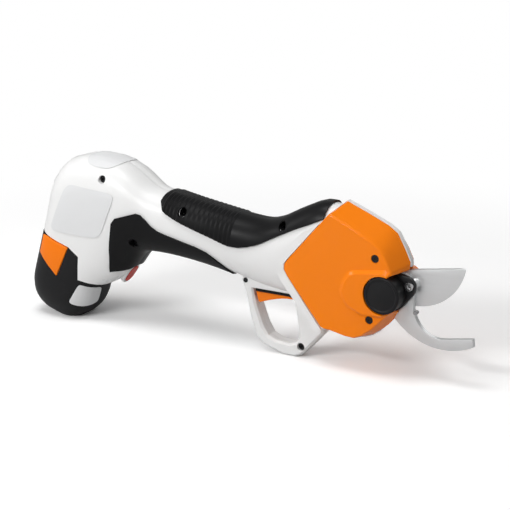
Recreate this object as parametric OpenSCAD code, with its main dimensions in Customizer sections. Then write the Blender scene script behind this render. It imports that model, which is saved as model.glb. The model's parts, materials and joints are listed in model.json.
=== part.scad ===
// Battery electric pruner, standing on its battery and its finger guard.
// Millimetres. +X points to the blades, +Y to the user's left, +Z up, and the floor is z = 0.
// The housing is two moulded halves that meet on the plane y = 0, so most pieces are drawn for
// the right-hand side, y < 0, and mirrored for the left.

/* [Housing] */
// Wall of the moulded housing halves
shell_wall = 2.4; // [1.8:0.1:2.8]
// Half width of the handle at its waist
handle_half_width = 18.7; // [18.4:0.1:21]
// Half width of the rear housing over the battery
rear_half_width = 25.6; // [25.4:0.1:28]
// Thickness of the soft grips that stand on the housing
grip_thickness = 1.1; // [0.8:0.1:1.6]
// Height of the ribs on the upper grip
rib_height = 0.8; // [0.3:0.05:0.9]
// Ribs on the upper grip
rib_count = 16; // [10:1:18]
// Half width of the finger guard
guard_half_width = 6.8; // [6.4:0.1:8]

/* [Head] */
// Half width over the two side covers
cover_half_width = 18.6; // [18.2:0.1:20]
// Wall of the side covers
cover_wall = 2.6; // [2:0.1:3]
// Half width of the ridge that shows between the covers
ridge_half_width = 1.8; // [1.6:0.1:2.6]
// Height of the ridge over the covers
ridge_height = 0.7; // [0.5:0.1:1.2]
// Height of the boss round the pivot
boss_height = 2.4; // [1:0.1:2.6]
// Radius of the round pivot cap
cap_radius = 13.2; // [11.6:0.1:13.6]

/* [Blades] */
// Thickness of the cutting blade
blade_thickness = 3.2; // [2.4:0.1:3.6]
// Thickness of the hooked counter blade
hook_thickness = 4; // [3.2:0.1:4.4]
// Radius of the pivot bolt
bolt_radius = 5; // [4:0.1:5.6]
// Width of the ground bevel along the cutting edge
edge_bevel = 5; // [3:0.5:6]

/* [Drive] */
// Radius of the motor
motor_radius = 15.6; // [14.8:0.1:15.7]
// Length of the motor
motor_length = 50; // [40:1:52]
// Module of the planetary gears
gear_module = 0.5; // [0.46:0.02:0.52]
// Module of the bevel gears
bevel_module = 1.25; // [1.15:0.05:1.3]

/* [Battery] */
// Radius of a battery cell
cell_radius = 9.1; // [8.6:0.1:9.2]
// Length of a battery cell
cell_length = 65; // [60:1:66]
// Wall of the battery case round its cells
case_wall = 1; // [0.8:0.1:1.2]

/* [Clearances] */
// Gap between fixed pieces that sit in each other
seat_gap = 0.3; // [0.2:0.05:0.4]
// Gap round pieces that slide or swing
slide_gap = 0.4; // [0.3:0.05:0.5]
// Gap between a shaft and its bore
running_gap = 0.05; // [0.02:0.01:0.1]
// Thinning of each gear tooth, for backlash
tooth_thinning = 0.12; // [0.08:0.02:0.2]

/* [Hidden] */
// Gap between a pressed bush or gear and its seat
press_gap = 0.02;
$fn = 48;

// Colours
white = [0.93, 0.93, 0.92];
orange = [0.95, 0.43, 0.05];
black = [0.1, 0.1, 0.11];
steel = [0.75, 0.76, 0.77];

// Curves and skins

// Catmull-Rom spline through a list of equal vectors, with t counted in list places
function key_at(keys, i) = keys[max(0, min(len(keys) - 1, i))];
function spline(keys, t) =
    let (i = min(floor(t), len(keys) - 2), u = t - i)
    let (a = key_at(keys, i - 1), b = key_at(keys, i), c = key_at(keys, i + 1), d = key_at(keys, i + 2))
    0.5 * (2 * b + (c - a) * u + (2 * a - 5 * b + 4 * c - d) * u * u + (3 * b - a - 3 * c + d) * u * u * u);
function mix(a, b, t) = a + (b - a) * t;
function arc(centre, r, from, to, steps) =
    [for (i = [0 : steps]) let (a = mix(from, to, i / steps)) centre + r * [cos(a), sin(a)]];
function signed_power(v, p) = sign(v) * pow(abs(v), p);

// Two triangles across a quad of corner numbers
function quad(a, b, c, d) = [[a, b, c], [a, c, d]];
function flat_list(lists) = [for (l = lists) each l];

// Closed solid between two grids of points: rows of equal length, the outer grid seen
// from outside with its rows going forward and its columns turning anticlockwise
module skin(outer, inner) {
    rows = len(outer);
    cols = len(outer[0]);
    count = rows * cols;
    o = function (i, j) i * cols + j;
    n = function (i, j) count + i * cols + j;
    faces = flat_list([
        for (i = [0 : rows - 2], j = [0 : cols - 2]) quad(o(i, j), o(i, j + 1), o(i + 1, j + 1), o(i + 1, j)),
        for (i = [0 : rows - 2], j = [0 : cols - 2]) quad(n(i, j), n(i + 1, j), n(i + 1, j + 1), n(i, j + 1)),
        for (i = [0 : rows - 2]) quad(o(i, 0), o(i + 1, 0), n(i + 1, 0), n(i, 0)),
        for (i = [0 : rows - 2]) quad(o(i + 1, cols - 1), o(i, cols - 1), n(i, cols - 1), n(i + 1, cols - 1)),
        for (j = [0 : cols - 2]) quad(o(0, j + 1), o(0, j), n(0, j), n(0, j + 1)),
        for (j = [0 : cols - 2]) quad(o(rows - 1, j), o(rows - 1, j + 1), n(rows - 1, j + 1), n(rows - 1, j))
    ]);
    polyhedron(flat_list(concat(outer, inner)), faces);
}

// Closed solid through a stack of rings of equal length, each ring convex
module loft(rings) {
    cols = len(rings[0]);
    last = (len(rings) - 1) * cols;
    sides = flat_list([
        for (i = [0 : len(rings) - 2], j = [0 : cols - 1])
            let (k = (j + 1) % cols)
            quad(i * cols + j, i * cols + k, (i + 1) * cols + k, (i + 1) * cols + j)
    ]);
    first_cap = [for (j = [1 : cols - 2]) [0, j + 1, j]];
    last_cap = [for (j = [1 : cols - 2]) [last, last + j, last + j + 1]];
    polyhedron(flat_list(rings), concat(sides, first_cap, last_cap));
}

// An outline in the side view, x and z, carried across y
module side_extrude(y_from, y_to) {
    translate([0, y_to, 0]) rotate([90, 0, 0]) linear_extrude(y_to - y_from) children();
}
function side_ring(points, y) = [for (p = points) [p[0], y, p[1]]];

module mirrored() {
    mirror([0, 1, 0]) children();
}

// Housing: one bent tube from the head, along the handle and down over the battery.
// Each station has a point of the upper and rear outline, a point of the lower and front
// outline, a half width, the squareness of its section, and how far up the section the
// edges of the upper and lower grips run
hw = handle_half_width;
rw = rear_half_width;
stations = [
    [80, 116, 70, 45, hw - 1.7, 2.6, 0.93, 0.02],
    [66, 116.6, 58, 46, hw - 0.9, 2.6, 0.82, 0.02],
    [48, 108.5, 45, 47, hw - 0.3, 2.5, 0.8, 0.02],
    [33, 100.5, 31, 48.5, hw - 0.1, 2.4, 0.77, 0.02],
    [20, 97.2, 17, 50.5, hw, 2.3, 0.675, 0.02],
    [2, 98.2, 1, 54, hw, 2.3, 0.56, 0.02],
    [-20, 101, -20, 58.3, hw + 0.3, 2.3, 0.6, 0.3],
    [-44, 104.5, -46, 61.5, hw + 0.9, 2.3, 0.68, 0.38],
    [-62, 107.5, -64, 62.8, hw + 2.1, 2.4, 0.8, 0.45],
    [-75, 111, -76.5, 62.4, mix(hw, rw, 0.45), 2.5, 0.9, 0.62],
    [-87, 119.2, -83, 60, mix(hw, rw, 0.68), 2.6, 0.9, 0.51],
    [-101, 126.2, -87.5, 55.5, mix(hw, rw, 0.88), 2.7, 0.9, 0.445],
    [-123, 129, -91.5, 50.5, rw - 0.2, 2.8, 0.9, 0.29],
    [-146, 124.4, -95.5, 45, rw, 2.9, 0.9, 0.16],
    [-160.4, 108.5, -100.5, 39.5, rw, 3, 0.9, 0.09],
    [-166.5, 88, -107, 34.5, rw - 0.2, 3, 0.9, 0.02],
    [-171.5, 68, -114.5, 30, rw - 0.4, 3, 0.9, 0.02],
    [-176, 50.5, -119.5, 27.5, rw - 0.4, 3, 0.9, 0.02]
];
last_station = len(stations) - 1;

// Point of the tube at station t and turn a: 90 is the upper outline, 180 the right-hand
// side, 270 the lower outline. grow moves it out along the section
function tube_point(t, a, grow) =
    let (s = spline(stations, t))
    let (up = [s[0], s[1]], low = [s[2], s[3]], axis = (up - low) / norm(up - low))
    let (p = 2 / s[5], half = norm(up - low) / 2 + grow)
    let (c = (up + low) / 2 + axis * half * signed_power(sin(a), p))
    [c[0], (s[4] + grow) * signed_power(cos(a), p), c[1]];
// Turn at which the tube's section stands at a share of its height
function turn_at(t, share) = 180 - asin(signed_power(2 * share - 1, spline(stations, t)[5] / 2));

shell_turns = [for (j = [0 : 16]) 90 + j * 180 / 16];
function shell_grid(grow) =
    [for (i = [0 : 2 * last_station]) [for (a = shell_turns) tube_point(i / 2, a, grow)]];

// Battery frame: z up its axis, x to the front, with the housing's skirt a little above z = 0
battery_tilt = 16;
battery_place = [-145.6, 57.3];
module battery_frame() {
    translate([battery_place[0], 0, battery_place[1]]) rotate([0, battery_tilt, 0]) children();
}
skirt = [[-60, 3.8], [5.4, 3.8], [15.6, 0], [19, -18.5], [60, -18.5]];
function below_skirt(drop) =
    concat([for (p = skirt) p - [0, drop]], [[60, -90], [-60, -90]]);

module right_shell() {
    difference() {
        skin(shell_grid(0), shell_grid(-shell_wall));
        battery_frame() side_extrude(-60, 1) polygon(below_skirt(0));
    }
}

// Side covers of the head: a flat face with slanted top, front and bottom borders.
// Each corner has its place at the border and its place on the face
cover_corners = [
    [[45.4, 64.5], [45.4, 64.5]], [[43.2, 68.5], [43.2, 68.5]], [[43.4, 72.6], [43.4, 72.6]],
    [[45.6, 75.8], [45.6, 75.8]], [[82.4, 118.6], [77.2, 112.5]], [[84.6, 120], [79.2, 113]],
    [[103.4, 112.6], [95.5, 105.8]], [[116.6, 107], [110, 98.6]], [[123.4, 102.4], [117.6, 94]],
    [[129, 92.4], [122.4, 87.2]], [[133.4, 83.4], [126, 79.8]], [[133.2, 80], [126.4, 77]],
    [[128.6, 48.4], [126, 50]], [[115, 33], [112.6, 36]], [[106, 26.4], [104.6, 29.8]],
    [[99, 23.6], [98.6, 27.2]], [[91, 23.8], [91.4, 27.6]], [[78.6, 26.4], [80, 29.8]],
    [[74.8, 27.4], [75.2, 30]], [[72.4, 29.6], [72.6, 31.2]]
];
cover_border = [for (c = cover_corners) c[0]];
cover_face = [for (c = cover_corners) c[1]];
cover_middle = [90, 70];
cover_inside = cover_half_width - cover_wall;
function inward(p, d) = p + (cover_middle - p) / norm(cover_middle - p) * d;
// Outline inside the covers' border, left open behind, where the handle runs in
function head_outline(inset, rear) =
    concat(rear, [for (i = [5 : 17]) inward(mix(cover_corners[i][0], cover_corners[i][1], 0.9), inset)]);

module cover_body() {
    loft([
        side_ring(cover_border, -ridge_half_width - seat_gap),
        side_ring([for (c = cover_corners) mix(c[0], c[1], 0.9)], -cover_half_width + 1.4),
        side_ring([for (c = cover_corners) mix(c[0], inward(c[1], 0.2), 0.98)], -cover_half_width + 0.4),
        side_ring([for (p = cover_face) inward(p, 0.8)], -cover_half_width)
    ]);
}

// Pivot, and what lies along it from right to left
pivot = [120.5, 62];
lock_end = pivot + [11.2, 4.4];
lock_end_radius = 8.3;
lock_hub_radius = 14.3;
lock_thickness = 4;
blade_y = -0.2;
hook_y = blade_y - 0.2;
lock_y = hook_y - hook_thickness - 0.1;
blade_room = blade_y + blade_thickness + slide_gap;
cap_seat_y = lock_y - lock_thickness - 0.1;
cap_face_y = -cover_half_width - boss_height;
module at_pivot(y_from, y_to, r) {
    translate([pivot[0], y_to, pivot[1]]) rotate([90, 0, 0]) cylinder(h = y_to - y_from, r = r);
}
module at_side(place, y_from, y_to, r) {
    translate([place[0], y_to, place[1]]) rotate([90, 0, 0]) cylinder(h = y_to - y_from, r = r);
}

// Boss of the cover round the pivot
boss_outline = [
    [86, 60], [88, 68], [92, 74], [98, 76.6], [122, 80.2], [125.6, 78], [125.8, 50], [120, 45],
    [104, 44.6], [92, 49.5], [88, 54]
];
module pivot_boss() {
    loft([
        side_ring(boss_outline, -cover_half_width + 0.3),
        side_ring(boss_outline, -cover_half_width),
        side_ring([for (p = boss_outline) mix(p, pivot, 0.11)], cap_face_y + 0.5),
        side_ring([for (p = boss_outline) mix(p, pivot, 0.15)], cap_face_y)
    ]);
}

// Screws: places in the side view, with the depth of each screw's seat from the parting plane
housing_screw_places = [[-109, 115, 20], [-82.5, 70, 16], [-42, 98, 9.2], [40, 98.5, 7], [51, 8.5, 5]];
cover_screw_places = [[114.4, 87], [110.8, 42.5]];
screw_radius = 1.6;
screw_head_radius = 2.7;
screw_hole_radius = screw_head_radius + seat_gap;
grip_hole_radius = screw_hole_radius + 0.3;
post_radius = 4.2;

// Trigger
trigger_pin_place = [50, 53.4];
trigger_pin_radius = 1.5;
trigger_half_width = 4.5;

// Guard with the finger opening
guard_outline = [
    [9.2, 23.2], [4.9, 42.2], [2.2, 52], [3.4, 55.8], [40, 56], [66, 40], [69, 22], [56.4, 8], [51, 2.2],
    [46, 0], [36, 0], [20, 5], [14.3, 10]
];
guard_hole = [
    [18.8, 19.5], [13.6, 33], [10.6, 46], [44.4, 46], [47.4, 30], [49.2, 16], [47, 11.2], [41, 9],
    [30, 9.6], [23.4, 12.4]
];
guard_middle = [31, 30];
guard_soft = 1.6;
function soften(points, d) = [for (p = points) p + (guard_middle - p) / norm(guard_middle - p) * d];
module guard_plate() {
    difference() {
        loft([
            side_ring(guard_outline, 0),
            side_ring(guard_outline, guard_soft - guard_half_width),
            side_ring([for (p = guard_outline) p[1] < 50 ? soften([p], guard_soft)[0] : p], -guard_half_width)
        ]);
        loft([
            side_ring(guard_hole, 0.01),
            side_ring(guard_hole, guard_soft - guard_half_width),
            side_ring(soften(guard_hole, -guard_soft), -guard_half_width),
            side_ring(soften(guard_hole, -guard_soft), -guard_half_width - 0.01)
        ]);
    }
}

// Middle of the head: side walls under the covers and the ridge between them
head_rear = [[68, 26.6], [40, 60], [38, 64], [38, 76], [41, 80.5], [58, 98], [77, 108.6]];
head_inside_rear = [[71, 34], [46, 62], [30, 66], [30, 82], [44, 84], [68, 108]];
ridge_outline = [for (i = [4 : 18]) inward(cover_border[i], -ridge_height)];
module head_half() {
    difference() {
        union() {
            side_extrude(-cover_half_width + 0.8, 0) polygon(head_outline(cover_wall + seat_gap, head_rear));
            side_extrude(-ridge_half_width, 0) polygon(ridge_outline);
        }
        side_extrude(-cover_inside + seat_gap + shell_wall, 1)
            polygon(head_outline(cover_wall + seat_gap + shell_wall, head_inside_rear));
    }
}

// Everything that the right and left halves share, drawn on the right
module housing_half(slot, drum) {
    difference() {
        union() {
            right_shell();
            head_half();
            guard_plate();
            for (p = housing_screw_places) at_side(p, -screw_seat(p), 0, post_radius);
            for (p = cover_screw_places) at_side(p, -cover_inside + seat_gap + 1, hook_y - hook_thickness, 3.6);
        }
        side_extrude(-40, -cover_inside + seat_gap) offset(delta = seat_gap) polygon(cover_border);
        side_extrude(-40, -ridge_half_width) difference() {
            offset(delta = seat_gap) polygon(cover_border);
            polygon(head_outline(cover_wall + seat_gap, head_rear));
        }
        drive_frame() translate([0, 0, case_step - 8]) cylinder(h = motor_length + 40, r = motor_radius + seat_gap);
        at_pivot(-40, drum, cap_radius + seat_gap);
        side_extrude(-slot, 1) polygon(blade_slot);
        hook_block(hook_y - hook_thickness, 1, seat_gap);
        side_extrude(-trigger_half_width - slide_gap, 1) polygon(trigger_slot);
        for (p = housing_screw_places) at_side(p, -40, 1, screw_radius + 0.1);
        for (p = housing_screw_places) at_side(p, -40, -screw_seat(p) + 2, screw_hole_radius);
        for (p = cover_screw_places) at_side(p, -40, 1, screw_radius + 0.1);
        at_side(trigger_pin_place, -guard_half_width - 0.2, 1, trigger_pin_radius + running_gap);
        button_frame() stadium(button_half_length, button_radius + slide_gap + bezel_wall + 0.1, -12, 6);
    }
}
blade_slot = [[112, 80], [140, 80], [140, 20], [110, 30]];
trigger_slot = [[10.6, 40], [10.6, 57.5], [56, 57.5], [56, 46], [48, 40]];
function screw_seat(p) = p[2];

module housing_right() {
    color(white) housing_half(-cap_seat_y + 0.2, cap_seat_y + 0.2);
}
module housing_left() {
    color(white) mirrored() housing_half(blade_room, -blade_room);
}

// Grips: soft pads on the tube, from the parting plane to their side edge
function pad_grid(rows, cols, t_of, edge, start, grow_of) =
    [for (i = [0 : rows]) [for (j = [0 : cols])
        let (v = j / cols, t = t_of(i / rows, v))
        tube_point(t, mix(start, turn_at(t, edge(t)), v), grow_of(i, v))]];

grip_seat = seat_gap + 0.15;
upper_from = 0.55;
ribs_from = 5.1;
ribs_to = 7.75;
upper_to = 7.95;
module upper_pad() {
    smooth_rows = 12;
    rows = smooth_rows + 2 * rib_count + 1;
    edge = function (t) let (u = max(0, t - upper_to + 0.5) / 0.5) spline(stations, t)[6] + 0.1 * u * u * u;
    t_row = function (i) i <= smooth_rows ? mix(upper_from, ribs_from, i / smooth_rows)
        : i < rows ? mix(ribs_from, ribs_to, (i - smooth_rows) / (2 * rib_count)) : upper_to;
    t_of = function (u, v) t_row(round(u * rows));
    on_rib = function (i) i > smooth_rows && i < rows && (i - smooth_rows) % 2 == 1;
    grow = function (i, v) grip_seat + grip_thickness + (on_rib(i) ? rib_height : 0);
    skin(pad_grid(rows, 8, t_of, edge, 90, grow), pad_grid(rows, 8, t_of, edge, 90, function (i, v) grip_seat));
}
module upper_half() {
    difference() {
        upper_pad();
        for (p = housing_screw_places) at_side(p, -40, 0, grip_hole_radius);
    }
}
module upper_grip_right() {
    color(black) upper_half();
}
module upper_grip_left() {
    color(black) mirrored() upper_half();
}

lower_from = 5.3;
lower_to_front = 12.6;
lower_to_side = 14.1;
panel_corner = 11.4;
panel_corner_rise = 0.06;
module lower_pad() {
    rows = 24;
    edge = function (t) spline(stations, t)[7] + panel_corner_rise * max(0, 1 - abs(t - panel_corner) / 0.6);
    t_of = function (u, v) mix(lower_from, mix(lower_to_front, lower_to_side, v), u);
    skin(
        pad_grid(rows, 8, t_of, edge, 270, function (i, v) grip_seat),
        pad_grid(rows, 8, t_of, edge, 270, function (i, v) grip_seat + grip_thickness)
    );
}
module lower_half() {
    difference() {
        lower_pad();
        for (p = housing_screw_places) at_side(p, -40, 0, grip_hole_radius);
        button_frame() stadium(button_half_length, button_radius + slide_gap + bezel_wall + seat_gap, -12, 6);
    }
}
module lower_grip_right() {
    color(black) lower_half();
}
module lower_grip_left() {
    color(black) mirrored() lower_half();
}

// Side covers
cover_screw_head = 1;
cover_screw_seat = cover_half_width - cover_screw_head - 0.4;
module cover_shell(drum) {
    difference() {
        union() {
            cover_body();
            pivot_boss();
            if (drum) at_pivot(cap_face_y, -blade_room, cap_radius);
        }
        side_extrude(-cover_inside, 1)
            polygon(head_outline(cover_wall, [[70, 20], [30, 60], [30, 90], [60, 120]]));
        for (p = cover_screw_places) at_side(p, -40, 0, screw_radius + 0.1);
        for (p = cover_screw_places) at_side(p, -40, -cover_screw_seat, screw_hole_radius);
    }
}
module head_cover_right() {
    color(orange) difference() {
        cover_shell(false);
        at_pivot(-40, 1, cap_radius + 2 * seat_gap);
        side_extrude(-40, 1) polygon(lock_window);
        hook_block(hook_y - hook_thickness - seat_gap, 1, seat_gap);
        at_pivot(cap_seat_y, 1, lock_hub_radius + seat_gap);
    }
}
// The left cover closes over the nut and the hub of the sector gear
module head_cover_left() {
    color(orange) mirrored() difference() {
        cover_shell(true);
        at_pivot(-sector_back - slide_gap, 1, sector_hub_radius + slide_gap);
        at_pivot(-nut_y - nut_thickness - seat_gap, 1, nut_radius + seat_gap);
        side_extrude(-blade_room, 1) polygon(blade_slot);
    }
}
lock_window = [pivot + [4, 14.2], pivot + [9, 15.2], pivot + [40, 22], pivot + [40, -20], pivot + [6, -14.2]];

// Blades: both lie on the pivot, side by side
edge_centre = [136.5, 90];
edge_radius = 38;
blade_outline = concat(
    [[126, 58], [124, 74.4], [128, 76.6], [173.2, 83.9]],
    arc(edge_centre, edge_radius + 0.4, -9.6, -92, 16)
);
blade_hub_radius = 13;
bush_radius = bolt_radius + 1.5;
module cutting_blade() {
    color(steel) difference() {
        union() {
            at_pivot(blade_y, blade_y + blade_thickness, blade_hub_radius);
            intersection() {
                side_extrude(blade_y, blade_y + blade_thickness) polygon(blade_outline);
                translate([edge_centre[0], blade_y + blade_thickness, edge_centre[1]]) rotate([90, 0, 0])
                    cylinder(h = blade_thickness, r1 = edge_radius - edge_bevel, r2 = edge_radius, $fn = 96);
            }
        }
        at_pivot(-40, 40, bush_radius + press_gap);
    }
}
hook_outline = concat(
    [pivot + [17, 4], [137.4, 62], [137.4, 50.5], [138.8, 48], [138.9, 45.4]],
    arc([158, 53], 20.5, 202, 275, 10),
    [[182, 36.6]],
    arc([160, 73], 47.8, -61.8, -140, 14)
);
lug_radius = 5;
hook_hub_radius = 17;
hook_web = [
    cover_screw_places[0] + [-4.9, 1], cover_screw_places[0] + [4.9, 1], pivot + [15, 6], pivot + [10, -12],
    cover_screw_places[1] + [2, -4.5], cover_screw_places[1] + [-4.4, 2]
];
module hook_block(y_from, y_to, grow) {
    side_extrude(y_from, y_to) offset(delta = grow) polygon(hook_outline);
    side_extrude(y_from, y_to) offset(delta = grow) polygon(hook_web);
    at_pivot(y_from, y_to, hook_hub_radius + grow);
    for (p = cover_screw_places) at_side(p, y_from, y_to, lug_radius + grow);
    at_side(lock_screw_place, y_from, y_to, lock_screw_head_radius + 0.6 + grow);
}
module counter_blade() {
    color(steel) difference() {
        hook_block(hook_y - hook_thickness, hook_y, 0);
        at_pivot(-40, 40, bolt_radius + running_gap);
        for (p = cover_screw_places) at_side(p, -40, 40, screw_radius + 0.1);
        at_side(lock_screw_place, -40, 40, lock_screw_radius + 0.1);
    }
}

// Lock plate that keeps the pivot bolt from turning, with its screw
lock_screw_place = pivot + [15.8, 6.1];
lock_screw_radius = 1.8;
lock_screw_head_radius = 3;
module lock_plate() {
    color(black) difference() {
        side_extrude(lock_y - lock_thickness, lock_y) hull() {
            translate(pivot) circle(lock_hub_radius, $fn = 64);
            translate(lock_end) circle(lock_end_radius, $fn = 64);
        }
        at_pivot(-40, 40, bolt_radius + running_gap);
        at_side(lock_screw_place, -40, 40, lock_screw_radius + 0.1);
    }
}
lock_screw_head = 1.6;
module lock_screw() {
    color(steel) {
        difference() {
            at_side(lock_screw_place, cap_seat_y - lock_screw_head, cap_seat_y, lock_screw_head_radius);
            translate([lock_screw_place[0], cap_seat_y - lock_screw_head + 1, lock_screw_place[1]]) rotate([90, 0, 0])
                cylinder(h = 4, r = 1.6, $fn = 6);
        }
        at_side(lock_screw_place, cap_seat_y, hook_y - 0.2, lock_screw_radius);
    }
}
bolt_head_radius = 8.6;
bolt_head = 4.4;
// Outer face of the sector gear, just inside the left housing wall
sector_back = cover_inside - seat_gap - shell_wall - 0.9;
nut_y = sector_back + 0.7;
nut_thickness = 2.5;
nut_radius = 8.2;
module pivot_bolt() {
    color(steel) {
        at_pivot(cap_seat_y - bolt_head, cap_seat_y, bolt_head_radius);
        at_pivot(cap_seat_y, nut_y + nut_thickness, bolt_radius);
    }
}
module pivot_nut() {
    color(steel) difference() {
        translate([pivot[0], nut_y + nut_thickness, pivot[1]]) rotate([90, 0, 0])
            cylinder(h = nut_thickness, r = nut_radius, $fn = 6);
        at_pivot(-40, 40, bolt_radius + running_gap);
    }
}
module thrust_washer() {
    color(steel) difference() {
        at_pivot(nut_y - 0.55, nut_y - 0.05, 8);
        at_pivot(-40, 40, bolt_radius + running_gap);
    }
}
cap_dome = 1.2;
module pivot_cap() {
    drum = cap_seat_y - cap_face_y;
    color(black) translate([pivot[0], cap_seat_y, pivot[1]]) rotate([90, 0, 0]) rotate_extrude($fn = 72)
        polygon(concat(
            [[bolt_head_radius + 0.4, 0], [cap_radius, 0], [cap_radius, drum - 0.8], [cap_radius - 0.8, drum]],
            [[cap_radius - 2, drum], [cap_radius - 2.4, drum - 0.5]],
            [for (i = [4 : -1 : 0]) [(cap_radius - 3) * i / 4, drum - 0.5 + cap_dome * (1 - i * i / 16)]],
            [[0, bolt_head + 0.4], [bolt_head_radius + 0.4, bolt_head + 0.4]]
        ));
}
module blade_bush() {
    color([0.72, 0.55, 0.3]) difference() {
        at_pivot(blade_y, nut_y - 0.6, bush_radius);
        at_pivot(-40, 40, bolt_radius + running_gap);
    }
}

// Gears. Tooth outlines are involutes with one tooth at 90 degrees
pressure_angle = 25;
function involute(a) = tan(a) * 180 / PI - a;
function half_tooth(r, pitch_r, thickness) =
    let (base_r = pitch_r * cos(pressure_angle))
    thickness / pitch_r * 90 / PI + involute(pressure_angle) - involute(r > base_r ? acos(base_r / r) : 0);
function gear_outline(teeth, module_size, addendum, dedendum, thinning) =
    let (pitch_r = teeth * module_size / 2, thickness = PI * module_size / 2 - thinning)
    let (low = pitch_r - dedendum, high = pitch_r + addendum)
    let (radii = [for (i = [0 : 3]) mix(low, high, i / 3)])
    flat_list([for (k = [0 : teeth - 1]) let (c = 90 + 360 * k / teeth) concat(
        [for (i = [0 : 3]) let (a = c - half_tooth(radii[i], pitch_r, thickness)) radii[i] * [cos(a), sin(a)]],
        [for (i = [3 : -1 : 0]) let (a = c + half_tooth(radii[i], pitch_r, thickness)) radii[i] * [cos(a), sin(a)]]
    )]);

// Bevel pair: the pinion's axis meets the pivot's axis, and all teeth run to that point
pinion_teeth = 12;
sector_teeth = 48;
pinion_radius = pinion_teeth * bevel_module / 2;
sector_radius = sector_teeth * bevel_module / 2;
sector_inner = sector_radius * 0.69;
sector_outer = sector_radius * 1.03;
closing_angle = 48;
spare_angle = 8;
drive_tilt = 7.4;
sector_hub_radius = bush_radius + 4.5;
contact_angle = 180 + drive_tilt;
module pivot_frame() {
    translate([pivot[0], 0, pivot[1]]) rotate([-90, 0, 0]) children();
}
module sector_tooth() {
    half_pitch = PI * bevel_module / 4 - tooth_thinning / 2;
    addendum = 0.95 * bevel_module;
    depth = 1.5 * bevel_module;
    slope = tan(pressure_angle);
    ring = function (r) let (k = r / sector_radius, tip = half_pitch - addendum * slope, foot = half_pitch + depth * slope) [
        [r, -tip * k, (pinion_radius - addendum) * k], [r, tip * k, (pinion_radius - addendum) * k],
        [r, foot * k, (pinion_radius + depth) * k], [r, -foot * k, (pinion_radius + depth) * k]
    ];
    loft([ring(sector_outer), ring(sector_inner)]);
}
module sector_gear() {
    root = (pinion_radius + 1.25 * bevel_module) / sector_radius;
    span = closing_angle + 2 * spare_angle;
    pitch = 360 / sector_teeth;
    first = ceil((-closing_angle - spare_angle) / pitch + 0.2);
    last = floor(spare_angle / pitch - 1.2);
    color(steel) difference() {
        union() {
            pivot_frame() translate([0, 0, blade_y + blade_thickness + 0.1])
                cylinder(h = sector_back - blade_y - blade_thickness - 0.1, r = sector_hub_radius);
            pivot_frame() rotate([0, 0, contact_angle - closing_angle - spare_angle]) rotate_extrude(angle = span)
                polygon([[sector_hub_radius - 1, sector_back], [sector_outer, sector_back], [sector_outer, sector_outer * root],
                    [sector_inner, sector_inner * root], [sector_inner - 1, sector_back - 3], [sector_hub_radius - 1, sector_back - 3]]);
            for (k = [first : last]) pivot_frame() rotate([0, 0, contact_angle + (k + 0.5) * pitch]) sector_tooth();
        }
        at_pivot(-40, 40, bush_radius + press_gap);
    }
}

// Drive: z runs back from the pivot along the handle
module drive_frame() {
    translate([pivot[0], 0, pivot[1]]) rotate([0, drive_tilt - 90, 0]) children();
}
// Height of the drive's axis over a place x
function drive_height(x) = pivot[1] + (pivot[0] - x) * tan(drive_tilt);
// A revolved piece on the drive's axis, from a list of [radius, place]
module drive_turn(points) {
    drive_frame() rotate_extrude($fn = 64) polygon(points);
}
pinion_back = sector_radius * 1.01;
pinion_face = sector_radius * 0.28;
shaft_radius = 4;
bearing_radius = 9.5;
bearing_width = 6;
case_front = pinion_back + 2;
case_step = case_front + 46;
nose_radius = 11.4;
carrier_front = case_step + 2;
carrier_width = 4;
gear_front = carrier_front + carrier_width + 0.3;
gear_width = 8;
case_back = gear_front + gear_width + 3;
ring_radius = motor_radius - 1.4;
sun_teeth = 12;
planet_teeth = 18;
ring_teeth = sun_teeth + 2 * planet_teeth;
planet_orbit = (sun_teeth + planet_teeth) * gear_module / 2;
planet_pin_radius = 1.5;
rotor_shaft_radius = 1.5;
motor_front = case_back + 0.1;
motor_back = motor_front + motor_length;
module pinion_shaft() {
    k = pinion_back / sector_radius;
    color(steel) {
        drive_frame() translate([0, 0, pinion_back]) mirror([0, 0, 1])
            linear_extrude(pinion_face, scale = (pinion_back - pinion_face) / pinion_back)
            polygon(k * gear_outline(pinion_teeth, bevel_module, 0.95 * bevel_module, 1.2 * bevel_module, tooth_thinning));
        drive_turn([[0, pinion_back - 0.5], [shaft_radius, pinion_back - 0.5], [shaft_radius, carrier_front],
            [0, carrier_front]]);
    }
}
module planet_carrier() {
    color(steel) {
        drive_turn([[0, carrier_front], [planet_orbit + 2.5, carrier_front],
            [planet_orbit + 2.5, carrier_front + carrier_width], [0, carrier_front + carrier_width]]);
        drive_frame() for (i = [0 : 2]) rotate([0, 0, 90 + 120 * i]) translate([planet_orbit, 0, carrier_front + 1])
            cylinder(h = carrier_width + gear_width, r = planet_pin_radius);
    }
}
module planet_gear(i) {
    color([0.6, 0.6, 0.58]) drive_frame() rotate([0, 0, 90 + 120 * i]) translate([planet_orbit, 0, gear_front])
        difference() {
            rotate([0, 0, 180 / planet_teeth - 90]) linear_extrude(gear_width)
                polygon(gear_outline(planet_teeth, gear_module, gear_module, 1.25 * gear_module, tooth_thinning / 2));
            translate([0, 0, -1]) cylinder(h = gear_width + 2, r = planet_pin_radius + running_gap);
        }
}
module planet_gear_1() {
    planet_gear(0);
}
module planet_gear_2() {
    planet_gear(1);
}
module planet_gear_3() {
    planet_gear(2);
}
module ring_gear() {
    color([0.55, 0.55, 0.55]) drive_frame() translate([0, 0, gear_front]) difference() {
        cylinder(h = gear_width, r = ring_radius - 0.05);
        translate([0, 0, -1]) rotate([0, 0, 180 / ring_teeth]) linear_extrude(gear_width + 2)
            polygon(gear_outline(ring_teeth, gear_module, 1.25 * gear_module, gear_module, -tooth_thinning / 2));
    }
}
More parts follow.
